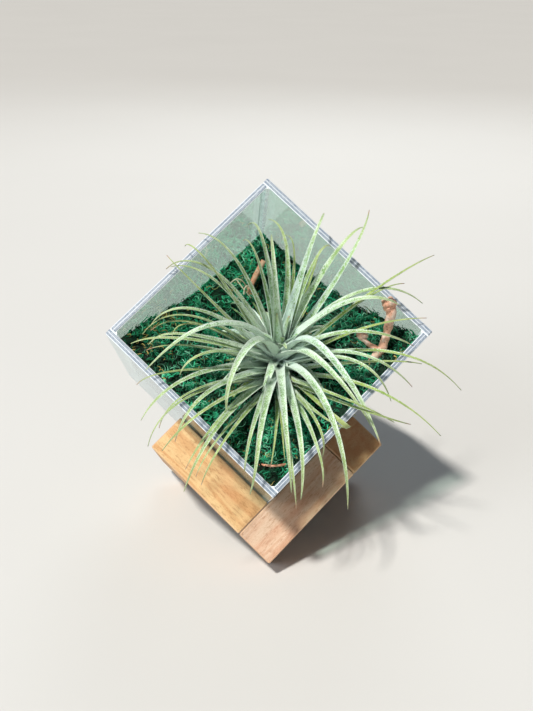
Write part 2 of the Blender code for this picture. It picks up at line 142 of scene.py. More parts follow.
# Young leaves in the heart, set by the golden angle
YOUNG_LEAVES = 9
BUD_LENGTHS = (30.0, 22.0, 17.0, 13.0)
BUD_TURN = 2.6
BUD_WIDTH = 6.0
BUD_ROOT = (-2.0, 1.0)
BUD_MIDDLE = (0.5, 0.08)
BUD_TIP = (0.98, 0.12)
YOUNG_LENGTH = (12.0, 24.0)
YOUNG_VARY = 0.1
YOUNG_WIDTH = 4.6
YOUNG_TAPER = 0.6
YOUNG_ROOT = (-3.0, 1.0)
YOUNG_MIDDLE = (0.55, 0.22)
YOUNG_TIP = (0.85, 0.6)
GOLDEN_ANGLE = math.radians(137.5)

# Broad silvery leaves that make the cup round the heart
CUP_LEAVES = 14
CUP_LENGTH = (22.0, 44.0)
CUP_WIDTH = 5.2
CUP_TAPER = 0.8
CUP_ROOT = (-9.0, 1.4)
CUP_MIDDLE = (0.28, 0.5)
CUP_TIP = (0.0, 1.0)
CUP_TURN = 0.9

# Top leaves that first rise from the cup and then arch over, with their rise
CRESTS = {5: 12.0, 6: 8.0, 7: 6.0, 9: 5.0, 11: 12.0, 12: 5.0}
CREST_SHAPE = 12.2

# Old short leaves under the others
OLD_LEAVES = 30
OLD_LENGTH = (30.0, 48.0)
OLD_WIDTH = 3.4
OLD_TAPER = 1.0
OLD_ROOT = (-13.0, 2.0)
OLD_MIDDLE = (0.16, 0.5)
OLD_TIP = (0.02, 1.0)

# One leaf was cut off: the marks of its middle and end with their c, its root and its width
CUT_LEAF = (((23.0, -33.5), 103.0), ((32.5, -40.8), 105.0))
CUT_ROOT = 14.0
CUT_WIDTH = 2.4
TIP_WIDTH = 0.3

# Curled ends: how many guide points from the end bend, and by how much at most
CURL_POINTS = 4
CURL_REACH = 2.6

# How far the middle of a strand of moss stays from the clear walls
STRAND_INSET = 0.35

# Twigs: points in box axes with the radius there
UPRIGHT_TWIG = (
    (84.0, 84.0, 51.0, 1.2), (76.6, 82.1, 48.0, 1.25), (69.3, 79.0, 45.0, 1.3),
    (68.5, 73.7, 39.0, 1.3), (68.4, 68.5, 31.0, 1.2),
)
PALE_SPRIGS = (
    (((-6.0, 13.0), 41.0), ((-11.0, 19.5), 48.5), ((-14.6, 24.5), 50.0)),
    (((-9.0, 18.0), 41.0), ((-12.5, 24.0), 50.0), ((-17.0, 22.5), 48.5)),
    (((-3.0, 13.0), 40.0), ((-8.9, 21.0), 49.0), ((-11.2, 17.5), 48.5)),
    (((-16.0, 12.0), 43.0), ((-13.8, 15.5), 48.0), ((-14.0, 18.0), 50.0)),
)
SPRIG_RADIUS = 0.34
ROOT_TWIG = (
    (95.0, 22.5, 104.5, 1.9), (93.2, 18.6, 100.0, 2.2), (88.0, 14.6, 93.5, 1.8),
    (82.0, 11.2, 87.5, 2.0), (76.5, 11.6, 81.0, 1.7), (72.0, 13.0, 73.0, 1.4),
)
ROOT_BRANCH = ((81.0, 11.8, 87.0, 1.5), (79.5, 17.5, 88.0, 1.2), (79.5, 21.5, 89.5, 1.6))
ROOT_KNOBS = (
    (94.0, 24.0, 105.0, 1.9), (95.8, 21.2, 105.0, 1.8), (93.0, 21.4, 103.0, 2.0),
    (94.8, 22.4, 106.0, 1.9), (93.0, 23.0, 105.2, 1.7), (96.0, 22.8, 104.2, 1.7),
    (79.8, 22.0, 90.0, 2.0), (80.6, 20.6, 90.2, 1.6),
)
CURVED_STEM = (
    (6.4, 16.4, 79.0, 0.45), (8.0, 13.6, 88.5, 0.5), (11.0, 9.6, 91.0, 0.5),
    (15.2, 6.6, 88.5, 0.5), (18.0, 5.6, 79.0, 0.45),
)

# Lights: the key's travel in box axes, and soft lamps by place, size and power
KEY_TRAVEL = (-0.06, -0.6, -1.0)
KEY_STRENGTH = 3.8
KEY_SOFTNESS = math.radians(5.0)
KEY_COLOUR = (1.0, 0.96, 0.9)
MIDDLE_HEIGHT = 0.085
LAMPS = {
    "fill": {"place": (-1.0, -0.9, 0.8), "size": 0.6, "watts": 8.0, "colour": (0.86, 0.93, 1.0)},
    "back": {"place": (0.2, 1.1, 0.9), "size": 0.7, "watts": 4.0, "colour": (0.88, 0.95, 1.0)},
}
SKY = ((0.82, 0.90, 1.0), 0.12)
FLOOR_RADIUS = 12.0


def tint(red, green, blue):
    """A display colour, 0 to 255, as the linear colour that shaders take."""
    return tuple((channel / 255) ** 2.2 for channel in (red, green, blue))


def find_socket(sockets, key):
    """A node's socket by its name, or by its place among those in use."""
    used = [item for item in sockets if item.enabled]
    if isinstance(key, int):
        return used[key]
    return next(item for item in used if item.name == key)


def is_vector(item):
    if isinstance(item, Value):
        return item.output.type in ("VECTOR", "RGBA")
    return isinstance(item, (tuple, Vector))


class Value:
    """A node's output in Python expressions, which add the Math nodes that they need."""

    def __init__(self, graph, output):
        self.graph = graph
        self.output = output

    def out(self, name):
        return Value(self.graph, find_socket(self.output.node.outputs, name))

    def maths(self, operation, *items):
        kind = "ShaderNodeVectorMath" if any(map(is_vector, items)) else "ShaderNodeMath"
        return self.graph.node(kind, {"operation": operation}, dict(enumerate(items)))

    def __add__(self, other):
        return self.maths("ADD", self, other)

    def __radd__(self, other):
        return self.maths("ADD", other, self)

    def __sub__(self, other):
        return self.maths("SUBTRACT", self, other)

    def __rsub__(self, other):
        return self.maths("SUBTRACT", other, self)

    def __mul__(self, other):
        return self.maths("MULTIPLY", self, other)

    def __rmul__(self, other):
        return self.maths("MULTIPLY", other, self)

    def __truediv__(self, other):
        return self.maths("DIVIDE", self, other)

    def __rtruediv__(self, other):
        return self.maths("DIVIDE", other, self)

    def __pow__(self, other):
        return self.maths("POWER", self, other)

    def __rpow__(self, other):
        return self.maths("POWER", other, self)

    def __neg__(self):
        return self.maths("MULTIPLY", self, -1.0)

    def __abs__(self):
        return self.maths("ABSOLUTE", self)

    def least(self, other):
        return self.maths("MINIMUM", self, other)

    def most(self, other):
        return self.maths("MAXIMUM", self, other)

    def dot(self, other):
        return self.maths("DOT_PRODUCT", self, other)

    def cross(self, other):
        return self.maths("CROSS_PRODUCT", self, other)

    def unit(self):
        return self.maths("NORMALIZE", self)


class Graph:
    """A node tree that is filled by one method."""

    def __init__(self, tree):
        self.tree = tree

    def node(self, kind, settings=None, inputs=None):
        """Add a node: its settings first, then the values or links of its sockets."""
        made = self.tree.nodes.new(kind)
        for key, value in (settings or {}).items():
            if key == "stops":
                self.set_stops(made.color_ramp, value)
            else:
                setattr(made, key, value)
        for key, value in (inputs or {}).items():
            self.feed(find_socket(made.inputs, key), value)
        used = [item for item in made.outputs if item.enabled]
        return Value(self, used[0]) if used else made

    def feed(self, target, value):
        """Link a value to an input, or set the input to plain numbers."""
        if isinstance(value, Value):
            self.tree.links.new(value.output, target)
        elif target.type == "RGBA":
            target.default_value = (*value[:3], 1.0)
        elif target.type == "VECTOR" and isinstance(value, (int, float)):
            target.default_value = (value, value, value)
        else:
            target.default_value = value

    def set_stops(self, ramp, stops):
        while len(ramp.elements) < len(stops):
            ramp.elements.new(1.0)
        for element, (position, colour) in zip(ramp.elements, stops):
            element.position = position
            element.color = (*colour, 1.0)

    def noise(self, vector, scale=1.0, detail=2.0, roughness=0.5, distortion=0.0):
        """Noise from 0 to 1."""
        return self.node("ShaderNodeTexNoise", {}, {
            "Vector": vector, "Scale": scale, "Detail": detail, "Roughness": roughness,
            "Distortion": distortion})

    def cells(self, vector, scale, feature="F1"):
        """Distance from the middle, or the edge, of scattered cells."""
        return self.node("ShaderNodeTexVoronoi", {"feature": feature}, {"Vector": vector, "Scale": scale})

    def ease(self, value, start, end):
        """A smooth step from 0 at start to 1 at end."""
        return self.node("ShaderNodeMapRange", {"interpolation_type": "SMOOTHSTEP"}, {
            "Value": value, "From Min": start, "From Max": end})

    def blend(self, share, first, second, kind="MIX"):
        """Mix two colours."""
        return self.node("ShaderNodeMix", {"data_type": "RGBA", "blend_type": kind}, {
            "Factor": share, "A": first, "B": second})

    def attribute(self, name, output="Fac"):
        return self.node("ShaderNodeAttribute", {"attribute_name": name}).out(output)

    def vector(self, x, y, z):
        return self.node("ShaderNodeCombineXYZ", {}, {"X": x, "Y": y, "Z": z})

    def maths_of(self, operation, value):
        return self.node("ShaderNodeMath", {"operation": operation}, {0: value})


class Surface(Graph):
    """A material with one Principled shader, made from expressions."""

    def __init__(self, name):
        self.material = bpy.data.materials.new(name)
        self.material.use_nodes = True
        super().__init__(self.material.node_tree)
        self.tree.nodes.clear()
        self.point = self.node("ShaderNodeTexCoord").out("Object")

    def principled(self, inputs):
        return self.node("ShaderNodeBsdfPrincipled", {}, inputs)

    def bump(self, height, strength, distance):
        return self.node("ShaderNodeBump", {}, {
            "Height": height, "Strength": strength, "Distance": distance})

    def finish(self, shader):
        self.node("ShaderNodeOutputMaterial", {}, {"Surface": shader})
        return self.material

    def own_axes(self, name):
        """A node's coordinates along its own sides from its middle, and its half sizes.

        The longest side comes first and the thinnest last, all in metres.
        """
        corners = [vertex.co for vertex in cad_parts[name].data.vertices]
        sides = []
        for axis in (AXIS_A, AXIS_B, AXIS_C):
            reach = [corner.dot(axis) for corner in corners]
            middle = (min(reach) + max(reach)) / 2
            half = (max(reach) - min(reach)) / 2
            sides.append((self.point.dot(tuple(axis)) - middle, half))
        return sorted(sides, key=lambda side: -side[1])


class Growth(Graph):
    """A Geometry Nodes tree with named inputs for its sizes."""

    def __init__(self, name, sizes):
        tree = bpy.data.node_groups.new(name, "GeometryNodeTree")
        super().__init__(tree)
        tree.interface.new_socket("Geometry", in_out="INPUT", socket_type="NodeSocketGeometry")
        tree.interface.new_socket("Material", in_out="INPUT", socket_type="NodeSocketMaterial")
        for size_name, start in sizes.items():
            kind = "NodeSocketInt" if isinstance(start, int) else "NodeSocketFloat"
            tree.interface.new_socket(size_name, in_out="INPUT", socket_type=kind)
        tree.interface.new_socket("Geometry", in_out="OUTPUT", socket_type="NodeSocketGeometry")
        self.sizes = sizes
        self.entry = self.node("NodeGroupInput")
        self.position = self.node("GeometryNodeInputPosition")

    def size(self, name):
        return self.entry.out(name)

    def store(self, geometry, name, value, kind="FLOAT", domain="POINT"):
        """Keep a value on the geometry under a name."""
        return self.node("GeometryNodeStoreNamedAttribute", {"data_type": kind, "domain": domain}, {
            "Geometry": geometry, "Name": name, "Value": value})

    def read(self, name, kind="FLOAT"):
        return self.node("GeometryNodeInputNamedAttribute", {"data_type": kind}, {"Name": name})

    def random(self, low, high, seed, kind="FLOAT"):
        return self.node("FunctionNodeRandomValue", {"data_type": kind}, {
            "Min": low, "Max": high, "Seed": seed})

    def sample(self, curves, value, share, number, kind="FLOAT"):
        """Read a value, the place or the direction at a share of one curve's length."""
        return self.node("GeometryNodeSampleCurve", {"mode": "FACTOR", "data_type": kind}, {
            "Curves": curves, "Value": value, "Factor": share, "Curve Index": number})

    def kept_inside(self, spot, inset):
        """A place moved in from the clear walls where it would pass through them."""
        away = spot - tuple(START)
        low = (SEAT_GAP + SHEET) * MM + inset
        high = (SEAT_GAP + BOX_SIDE - SHEET) * MM - inset
        moved = away * 0.0 + tuple(START)
        for axis in (AXIS_A, AXIS_B, AXIS_C):
            moved = moved + self.vector(*axis) * away.dot(tuple(axis)).most(low).least(high)
        return moved

    def finish(self, geometry):
        """End the tree with real geometry, shaded smooth, that carries its material."""
        real = self.node("GeometryNodeRealizeInstances", {}, {"Geometry": geometry})
        smooth = self.node("GeometryNodeSetShadeSmooth", {}, {"Geometry": real, "Shade Smooth": True})
        dressed = self.node("GeometryNodeSetMaterial", {}, {
            "Geometry": smooth, "Material": self.size("Material")})
        self.node("NodeGroupOutput", {}, {"Geometry": dressed})

    def grow(self, name, start, material, **changes):
        """Run the tree on a start mesh and keep what it makes as a plain mesh object."""
        piece = bpy.data.objects.new(name, start)
        bpy.context.scene.collection.objects.link(piece)
        modifier = piece.modifiers.new("grow", "NODES")
        modifier.node_group = self.tree
        wanted = {**self.sizes, "Material": material}
        for key, value in changes.items():
            wanted[key.replace("_", " ")] = value
        for item in self.tree.interface.items_tree:
            if item.item_type == "SOCKET" and item.in_out == "INPUT" and item.name in wanted:
                modifier[item.identifier] = wanted[item.name]
        graph = bpy.context.evaluated_depsgraph_get()
        mesh = bpy.data.meshes.new_from_object(
            piece.evaluated_get(graph), preserve_all_data_layers=True, depsgraph=graph)
        piece.modifiers.clear()
        piece.data = mesh
        mesh.materials.clear()
        mesh.materials.append(material)
        mesh.polygons.foreach_set("material_index", [0] * len(mesh.polygons))
        return piece


def start_of_box():
    """The start of the box axes in the model's frame, found from the back sheet."""
    low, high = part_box("sheet_back")
    across = SEAT_GAP + BOX_SIDE / 2
    middle = Vector((across, across, SEAT_GAP + SHEET / 2))
    return (low + high) / 2 - TO_MODEL @ middle * MM


START = start_of_box()


def place(point):
    """A point in box axes and millimetres, in metres in the model's frame."""
    return START + TO_MODEL @ Vector(point[:3]) * MM


def wood(name, warmth, lightness):
    """Sanded beech with its grain along the bar, short dark pores and paler edges."""
    surface = Surface("wood_" + name)
    (along, half_long), (wide, half_wide), (thin, half_thin) = surface.own_axes(name)
    shift = warmth * 7.3 + half_long
    bands = surface.noise(surface.vector(along * 22.0 + shift, wide * 240.0, thin * 240.0), detail=3.0,
                          distortion=0.8)
    streaks = surface.noise(surface.vector(along * 330.0 + shift, wide * 1300.0, thin * 1300.0), detail=3.0,
                            roughness=0.65)
    pores = surface.noise(surface.vector(along * 900.0, wide * 4200.0 + shift, thin * 4200.0), detail=1.0)
    clouds = surface.noise(surface.point, scale=55.0, detail=2.0)
    pale = tuple(lightness * c for c in tint(230, 200 - 6 * warmth, 178 - 38 * warmth))
    main = tuple(lightness * c for c in tint(214, 170 - 8 * warmth, 146 - 38 * warmth))
    dark = tuple(lightness * c for c in tint(176, 120, 92 - 22 * warmth))
    colour = surface.blend(surface.ease(bands, 0.36, 0.66), pale, main)
    colour = surface.blend(surface.ease(streaks, 0.5, 0.7) * 0.6, colour, dark)
    colour = surface.blend(surface.ease(clouds, 0.45, 0.75) * 0.35, colour, tint(205, 134, 92))
    pore_mask = surface.ease(pores, 0.56, 0.68)
    colour = surface.blend(pore_mask * 0.25, colour, tint(150, 92, 56))
    from_end = half_long - abs(along)
    from_wide = half_wide - abs(wide)
    from_thin = half_thin - abs(thin)
    end_grain = 1.0 - surface.ease(from_end, 0.0003, 0.0006)
    colour = surface.blend(end_grain * 0.45, colour, tint(150, 92, 56))
    edge = from_end.least(from_wide).most(from_wide.least(from_thin)).most(from_end.least(from_thin))
    # Paler along every edge of the bar
    pale_edge = 1.0 - surface.ease(edge, 0.0002, 0.0009)
    colour = surface.blend(pale_edge * 0.4, colour, tint(240, 205, 165))
    rough = 0.46 + pore_mask * 0.2 + bands * 0.12
    normal = surface.bump(streaks * 0.4 - pore_mask * 0.6, 0.35, 0.0002)
    return surface.finish(surface.principled({
        "Base Color": colour, "Roughness": rough, "Normal": normal, "IOR": 1.5}))


def acrylic(name):
    """Clear polished sheet with frosted sawn edges, faint smears and fine scratches; the sawn edges carry a
    painted glow.
    """
    surface = Surface("acrylic_" + name)
    (first, half_first), (second, half_second), (thick, half_thick) = surface.own_axes(name)
    to_edge = (half_first - abs(first)).least(half_second - abs(second))
    sawn = 1.0 - surface.ease(to_edge, 0.00042, 0.00062)
    from_middle = abs(thick) / half_thick
    saw_marks = surface.noise(surface.vector(first * 900.0, second * 900.0, thick * 5000.0), detail=2.0)
    lines = surface.ease(from_middle, 0.68, 0.86) + 0.7 - surface.ease(from_middle, 0.03, 0.2) * 0.7
    edge_colour = surface.blend(lines.least(1.0), tint(112, 126, 144), tint(228, 234, 242))
    edge_colour = surface.blend(surface.ease(saw_marks, 0.4, 0.7) * 0.5, edge_colour, tint(205, 210, 214))
    to_opening = START.dot(AXIS_C) + (SEAT_GAP + BOX_SIDE) * MM - surface.point.dot(tuple(AXIS_C))
    edge_colour = surface.blend(surface.ease(to_opening, 0.0008, 0.0016), edge_colour, tint(222, 230, 232))
    # The sawn edges emit their own colour: a painted glow
    edge_shader = surface.principled({
        "Base Color": edge_colour, "Roughness": 0.34, "Alpha": 0.82 + saw_marks * 0.18,
        "Emission Color": edge_colour, "Emission Strength": EDGE_GLOW,
        "Normal": surface.bump(saw_marks, 0.3, 0.0001)})
    facing = surface.node("ShaderNodeLayerWeight", {}, {"Blend": 0.5}).out("Facing")
    shine = facing ** 5.0 * 0.88 + 0.08
    clear = surface.node("ShaderNodeBsdfTransparent", {}, {"Color": tint(233, 245, 240)})
    scratches = surface.noise(surface.vector(first * 60.0, second * 2200.0, thick), detail=2.0, distortion=0.4)
    smear = surface.noise(surface.point, scale=45.0, detail=4.0, roughness=0.6)
    gloss = surface.node("ShaderNodeBsdfGlossy", {}, {
        "Color": (0.95, 0.98, 1.0), "Roughness": 0.03 + surface.ease(smear, 0.5, 0.8) * 0.1})
    face = surface.node("ShaderNodeMixShader", {}, {0: shine, 1: clear, 2: gloss})
    dust = surface.principled({"Base Color": tint(225, 236, 232), "Roughness": 0.7})
    haze = surface.ease(scratches, 0.62, 0.8) * 0.05 + surface.ease(smear, 0.5, 0.85) * 0.04
    face = surface.node("ShaderNodeMixShader", {}, {0: haze, 1: face, 2: dust})
    return surface.finish(surface.node("ShaderNodeMixShader", {}, {0: sawn, 1: face, 2: edge_shader}))


def leaf_skin():
    """Green leaf under a coat of silvery scales, lime in its folds, with dry tips and painted shade down the
    middle of each channel.
    """
    surface = Surface("leaf_skin")
    along = surface.attribute("along")
    across = surface.attribute("across")
    upper = surface.attribute("upper")
    age = surface.attribute("age")
    shade = surface.attribute("shade")
    patches = surface.noise(surface.point, scale=200.0, detail=3.0)
    lines = surface.noise(surface.vector(along * 7.0, across * 5.0, shade * 40.0), detail=3.0)
    grains = surface.noise(surface.vector(along * 75.0, across * 7.0, shade * 60.0), detail=2.0,
                           roughness=0.7)
    dots = surface.noise(surface.point, scale=2300.0, detail=1.0)
    fresh = surface.blend(surface.ease(patches, 0.35, 0.65), tint(98, 146, 76), tint(136, 182, 104))
    old = surface.blend(surface.ease(patches, 0.35, 0.65), tint(118, 144, 50), tint(156, 178, 76))
    colour = surface.blend(age, fresh, old)
    colour = surface.blend(surface.ease(lines, 0.5, 0.75) * 0.4, colour, tint(150, 190, 110))
    lengthwise = 1.0 - surface.ease(along, 0.05, 0.45)
    fold = (1.0 - surface.ease(abs(across), 0.0, 0.6)) * upper * lengthwise * surface.ease(shade, 0.3, 0.8)
    colour = surface.blend(fold * 0.8, colour, tint(130, 182, 40))
    cover = 0.68 + lengthwise * 0.45 - along * 0.35 - age * 0.3 - fold * 0.5 + (patches - 0.5) * 0.5
    # Less silver coat down the middle of the channel and more at the edges: painted shade in the channel
    cover = cover + surface.ease(abs(across), 0.2, 0.95) * 0.3
    coat = surface.ease(grains * 0.45 + dots * 0.55 + cover * 0.4, 0.6, 0.8)
    silver = surface.blend(shade, tint(222, 236, 224), tint(216, 234, 232))
    colour = surface.blend(coat * 0.88, colour, silver)
    colour = surface.blend(surface.ease(along, 0.6, 0.97) * 0.55, colour, tint(184, 196, 138))
    dry = surface.ease(along + patches * 0.03, 0.955, 1.0) * surface.ease(shade, 0.35, 0.6)
    colour = surface.blend(dry, colour, tint(186, 152, 118))
    normal = surface.bump(grains * 0.6 + lines, 0.7, 0.0003)
    return surface.finish(surface.principled({
        "Base Color": colour, "Roughness": 0.5 + grains * 0.2, "Normal": normal,
        "Sheen Weight": 0.2, "Sheen Roughness": 0.5}))


def moss_skin(name, dark, main, bright):
    """Dyed curly moss, each strand its own tone; painted shade darkens the roots and the hollows, and painted
    light brightens full tufts.
    """
    surface = Surface(name)
    along = surface.attribute("along")
    shade = surface.attribute("shade")
    patches = surface.noise(surface.point, scale=90.0, detail=2.0)
    # Darker towards each strand's root: painted shade deep in the tangle
    colour = surface.blend(surface.ease(along, 0.08, 0.75), dark, main)
    # Brighter where the stored tone and the patches are high: partly random tone, partly painted light on full
    # tufts
    colour = surface.blend(surface.ease(shade + (patches - 0.5), 0.45, 1.0), colour, bright)
    # Dark patches over the moss: painted shade in its hollows
    painted_hollow_shade = surface.noise(surface.point, scale=120.0, detail=1.0)
    colour = surface.blend(surface.ease(painted_hollow_shade, 0.5, 0.36) * 0.75, colour, dark)
    from_left = surface.point.dot(tuple(AXIS_B - AXIS_A)) - START.dot(AXIS_B - AXIS_A)
    straw = surface.attribute("odd") + surface.ease(from_left, 0.052, 0.088) * 0.16
    colour = surface.blend(surface.ease(straw, 0.97, 0.98), colour, tint(176, 156, 92))
    fibre = surface.noise(surface.point, scale=2400.0, detail=2.0)
    return surface.finish(surface.principled({
        "Base Color": colour, "Roughness": 0.5 + fibre * 0.3,
        "Normal": surface.bump(fibre, 0.5, 0.0002)}))


def moss_ground():
    """The moss bed's surface between and under the strands, painted near black as the shade in the gaps."""
    surface = Surface("moss_ground")
    tangle = surface.noise(surface.point, scale=700.0, detail=4.0, roughness=0.7, distortion=1.5)
    patches = surface.noise(surface.point, scale=80.0, detail=2.0)
    fibres = surface.noise(surface.point, scale=1500.0, detail=2.0, distortion=4.0)
    # Near-black greens: painted shade under and between the strands
    colour = surface.blend(surface.ease(tangle, 0.35, 0.65), tint(1, 10, 7), tint(6, 52, 34))
    colour = surface.blend(surface.ease(fibres, 0.5, 0.66) * 0.6, colour, tint(14, 98, 64))
    colour = surface.blend(surface.ease(patches, 0.5, 0.8) * 0.3, colour, tint(24, 70, 34))
    return surface.finish(surface.principled({
        "Base Color": colour, "Roughness": 0.85 - tangle * 0.1,
        "Normal": surface.bump(tangle, 1.0, 0.0015)}))


def bark(name, dark, main, pale):
    """Rough bark with long ridges and pale worn spots."""
    surface = Surface(name)
    ridges = surface.noise(surface.point, scale=900.0, detail=4.0, roughness=0.6)
    patches = surface.noise(surface.point, scale=220.0, detail=2.0)
    colour = surface.blend(surface.ease(ridges, 0.25, 0.5), dark, main)
    colour = surface.blend(surface.ease(patches, 0.45, 0.7) * 0.8, colour, pale)
    return surface.finish(surface.principled({
        "Base Color": colour, "Roughness": 0.6 + ridges * 0.25,
        "Normal": surface.bump(ridges, 0.7, 0.0004)}))


def opening_point(mark):
    """Point of the opening's plane at a mark, right of and up the slope from its middle."""
    middle = Vector((BOX_SIDE / 2, BOX_SIDE / 2, BOX_SIDE))
    right = Vector((1, -1, 0)) / math.sqrt(2)
    up_slope = Vector((1, 1, 0)) / math.sqrt(2)
    return middle + right * mark[0] + up_slope * mark[1]


def on_sight_line(mark, depth):
    """Point at c = depth on the line from the layout eye through a mark in the opening."""
    target = opening_point(mark)
    share = (LAYOUT_EYE.z - depth) / (LAYOUT_EYE.z - target.z)
    return LAYOUT_EYE + (target - LAYOUT_EYE) * share


def arc_points(root, middle, tip, steps):
    """Points of the parabola from root to tip that passes middle half way."""
    control = middle * 2 - (root + tip) / 2
    shares = [i / steps for i in range(steps + 1)]
    return [root * (1 - t) ** 2 + control * (2 * t * (1 - t)) + tip * t ** 2 for t in shares]


def clears_rim(points):
    """True if no point lies in the walls of the box or too close over its rim."""
    margin = SHEET + RIM_CLEARANCE
    far = BOX_SIDE + SEAT_GAP
    for point in points:
        beside = min(point.x, point.y) < margin or max(point.x, point.y) > far - margin
        if beside and point.z < far + RIM_CLEARANCE:
            return False
    return True


def leaf_arc(middle_mark, tip_mark, layer, draw):
    """Root, middle and tip of one leaf, bent towards the front until it clears the rim."""
    middle_depth = layer["middle"] + draw.uniform(-DEPTH_SPREAD, DEPTH_SPREAD)
    tip_depth = layer["tip"] + draw.uniform(-DEPTH_SPREAD, DEPTH_SPREAD)
    tip = on_sight_line(tip_mark, tip_depth)
    outward = tip - HEART
    outward -= FACING * outward.dot(FACING)
    in_front = max(0.0, -tip_mark[1] / FRONT_REACH)
    root = HEART - FACING * (layer["root"] + FRONT_DROP * in_front)
    root += outward.normalized() * CORE_RADIUS * ROOT_INSET
    while True:
        middle = on_sight_line(middle_mark, middle_depth)
        points = arc_points(root, middle, tip, 9)
        if clears_rim(points) or middle_depth > MOST_FORWARD:
            return root, middle, tip
        middle_depth += MIDDLE_STEP
        tip_depth += TIP_STEP
        tip = on_sight_line(tip_mark, tip_depth)


def guide_mesh(name, lines):
    """A mesh of open lines. Each line is its points and a dict of values for all of them."""
    mesh = bpy.data.meshes.new(name)
    points = []
    edges = []
    values = {}
    for places, facts in lines:
        first = len(points)
        points += [place(point) for point in places]
        edges += [(first + i, first + i + 1) for i in range(len(places) - 1)]
        for key, value in facts.items():
            value = value if isinstance(value, list) else [value] * len(places)
            values.setdefault(key, []).extend(value)
    mesh.from_pydata(points, edges, [])
    for key, numbers in values.items():
        if isinstance(numbers[0], Vector):
            layer = mesh.attributes.new(key, "FLOAT_VECTOR", "POINT")
            layer.data.foreach_set("vector", [number for vector in numbers for number in vector])
        else:
            layer = mesh.attributes.new(key, "FLOAT", "POINT")
            layer.data.foreach_set("value", numbers)
    return mesh


def faces_of(points, roll):
    """The way a leaf's channel faces at each point, turning with the leaf as it arches over."""
    outward = points[-1] - HEART
    outward = (outward - FACING * outward.dot(FACING)).normalized()
    last = len(points) - 1
    faces = []
    for i in range(last + 1):
        tangent = (points[min(i + 1, last)] - points[max(i - 1, 0)]).normalized()
        face = FACING * tangent.dot(outward) - outward * tangent.dot(FACING)
        face = (face - tangent * face.dot(tangent)).normalized()
        face.rotate(Matrix.Rotation(roll * i / last, 3, tangent))
        faces.append(TO_MODEL @ face)
    return faces


def crested(points, rise):
    """The same line lifted the way the plant faces, most of all a fifth of the way along."""
    last = len(points) - 1
    shares = [i / last for i in range(last + 1)]
    return [point + FACING * (rise * CREST_SHAPE * share * (1 - share) ** 4)
            for point, share in zip(points, shares)]


def curled(points, draw):
    """The same line with its thin end bent a little aside, as dry tips are."""
    lean = Vector([draw.uniform(-1, 1) for _ in range(3)]) * CURL_REACH * draw.random() ** 2
    start = len(points) - 1 - CURL_POINTS
    bend = [max(0, i - start) / CURL_POINTS for i in range(len(points))]
    return [point + lean * share ** 2 for point, share in zip(points, bend)]


def side_shoot(turn, length, root_facts, middle_facts, tip_facts):
    """Root, middle and tip of a leaf set by its turn round the way the plant faces."""
    outward = FACING_SIDE * math.cos(turn) + FACING_ACROSS * math.sin(turn)
    root = HEART + FACING * root_facts[0] + outward * root_facts[1]
    middle = root + (FACING * middle_facts[0] + outward * middle_facts[1]) * length
    tip = root + (FACING * tip_facts[0] + outward * tip_facts[1]) * length
    return root, middle, tip


def young_arc(index, draw):
    """Root, middle and tip of one young leaf of the heart."""
    share = (index + 1) / YOUNG_LEAVES
    length = YOUNG_LENGTH[0] + (YOUNG_LENGTH[1] - YOUNG_LENGTH[0]) * share
    length *= draw.uniform(1 - YOUNG_VARY, 1 + YOUNG_VARY)
    return side_shoot(index * GOLDEN_ANGLE, length, YOUNG_ROOT, YOUNG_MIDDLE, YOUNG_TIP)


def cup_arc(index, draw):
    """Root, middle and tip of one broad leaf of the cup."""
    length = CUP_LENGTH[0] + (CUP_LENGTH[1] - CUP_LENGTH[0]) * index / CUP_LEAVES
    turn = CUP_TURN + index * GOLDEN_ANGLE + draw.uniform(-0.15, 0.15)
    return side_shoot(turn, length, CUP_ROOT, CUP_MIDDLE, CUP_TIP)


def old_arc(index, draw):
    """Root, middle and tip of one short old leaf under the rosette."""
    length = draw.uniform(*OLD_LENGTH)
    turn = index * GOLDEN_ANGLE + draw.uniform(-0.3, 0.3)
    return side_shoot(turn, length, OLD_ROOT, OLD_MIDDLE, OLD_TIP)


def leaf_guides():
    """Centre lines of all leaves, with each leaf's width, taper, age, shade and facing."""
    draw = random.Random(LEAF_SEED)
    fine = random.Random(LEAF_SEED + 1)
    lines = []

    def add(arc, width, taper, age, roll, rise=0.0, tip=TIP_WIDTH):
        points = crested(curled(arc_points(*arc, GUIDE_STEPS), fine), rise)
        lines.append((points, {
            "width": width * fine.uniform(0.92, 1.08), "tip": tip, "taper": taper,
            "age": min(1.0, max(0.0, age + fine.uniform(-0.2, 0.2))), "shade": fine.random(),
            "face": faces_of(points, fine.uniform(-roll, roll))}))

    for layer_name, marks in LEAF_MARKS.items():
        layer = LAYERS[layer_name]
        crests = CRESTS if layer_name == "top" else {}
        for index, (middle_mark, tip_mark) in enumerate(marks):
            arc = leaf_arc(middle_mark, tip_mark, layer, draw)
            add(arc, layer["width"], layer["taper"], layer["age"], 0.4, crests.get(index, 0.0))
    for index in range(YOUNG_LEAVES):
        add(young_arc(index, draw), YOUNG_WIDTH, YOUNG_TAPER, 0.0, 0.2)
    for index, length in enumerate(BUD_LENGTHS):
        arc = side_shoot(BUD_TURN + index * GOLDEN_ANGLE, length, BUD_ROOT, BUD_MIDDLE, BUD_TIP)
        add(arc, BUD_WIDTH, YOUNG_TAPER, 0.0, 0.1)
    for index in range(CUP_LEAVES):
        add(cup_arc(index, fine), CUP_WIDTH, CUP_TAPER, 0.0, 0.2)
    for index in range(OLD_LEAVES):
        add(old_arc(index, fine), OLD_WIDTH, OLD_TAPER, 1.0, 0.8)
    cut_arc = [HEART - FACING * CUT_ROOT, *[on_sight_line(*spot) for spot in CUT_LEAF]]
    add(cut_arc, CUT_WIDTH, 1.0, 1.0, 0.0, tip=CUT_WIDTH * 0.9)
    return guide_mesh("leaf_guides", lines)


